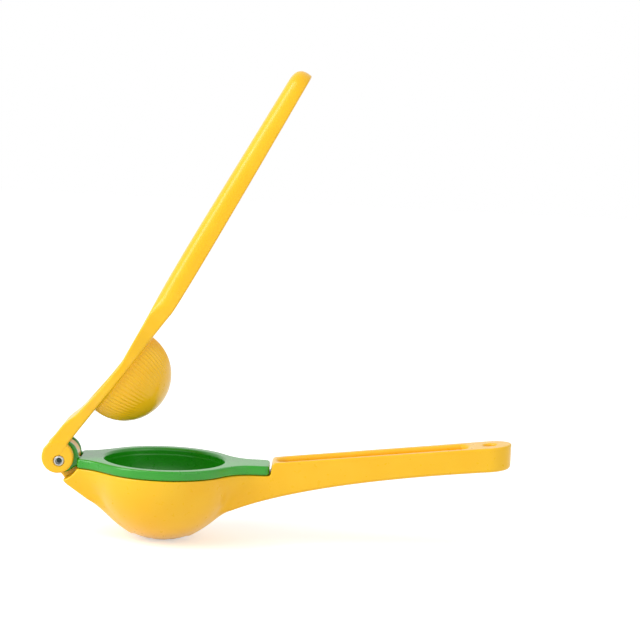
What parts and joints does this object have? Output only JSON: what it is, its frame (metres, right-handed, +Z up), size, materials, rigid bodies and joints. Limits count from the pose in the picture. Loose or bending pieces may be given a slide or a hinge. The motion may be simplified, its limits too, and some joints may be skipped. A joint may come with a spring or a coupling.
{
  "type": "hinged lemon squeezer",
  "caption": "Hinged citrus press: a deep bowl on the lower lever, a smaller lift-out bowl inside it and an upper lever with a hollow dome press them together on a hinge pin.",
  "frame": {"origin": "centre of the flat foot under the lemon bowl", "axes": "+X from the bowl to the handle ends, +Y along the hinge pin, +Z up out of the bowls"},
  "size_m": [0.2155, 0.066, 0.2202],
  "materials": {
    "yellow_enamel": "gloss",
    "green_enamel": "gloss",
    "pin_steel": "satin"
  },
  "bodies": {
    "lower_lever": {"lemon_lever": "yellow_enamel"},
    "lime_insert": {"lime_bowl": "green_enamel"},
    "upper_lever": {"press_lever": "yellow_enamel", "hinge_pin": "pin_steel"}
  },
  "joints": [
    {"name": "lime_bowl_lift", "type": "hinge", "parent": "lower_lever", "child": "lime_insert", "pos_m": [-0.0475, 0, 0.03587], "axis": [0, -1, 0], "range_deg": [0, 80]},
    {"name": "upper_lever_swing", "type": "hinge", "parent": "lime_insert", "child": "upper_lever", "pos_m": [-0.0475, 0, 0.03587], "axis": [0, -1, 0], "range_deg": [-54, 46]}
  ]
}
